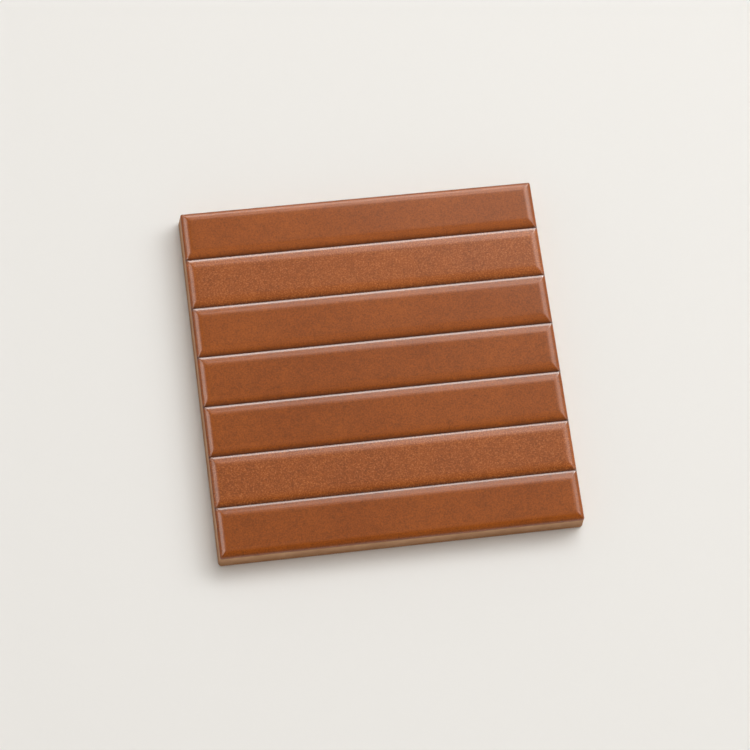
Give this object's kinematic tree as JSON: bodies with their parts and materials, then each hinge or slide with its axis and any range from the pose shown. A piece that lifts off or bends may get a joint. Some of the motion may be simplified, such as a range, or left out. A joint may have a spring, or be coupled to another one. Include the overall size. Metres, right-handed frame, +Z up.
{
  "type": "finger wall tile",
  "caption": "Square glazed ceramic wall tile whose face is a row of parallel raised fingers with rolled edges, mitred corners and narrow false joints, on a keyed flat back.",
  "frame": {"origin": "middle of the back, on the plane that the tile lies on", "axes": "+X along the fingers, +Y across them, +Z up out of the glazed face"},
  "size_m": [0.1498, 0.1498, 0.0116],
  "materials": {
    "tile": "satin to glossy reddish brown glaze on the face, bare tan biscuit on the sides and back"
  },
  "bodies": {
    "root": {"finger_tile": "tile"}
  },
  "joints": []
}
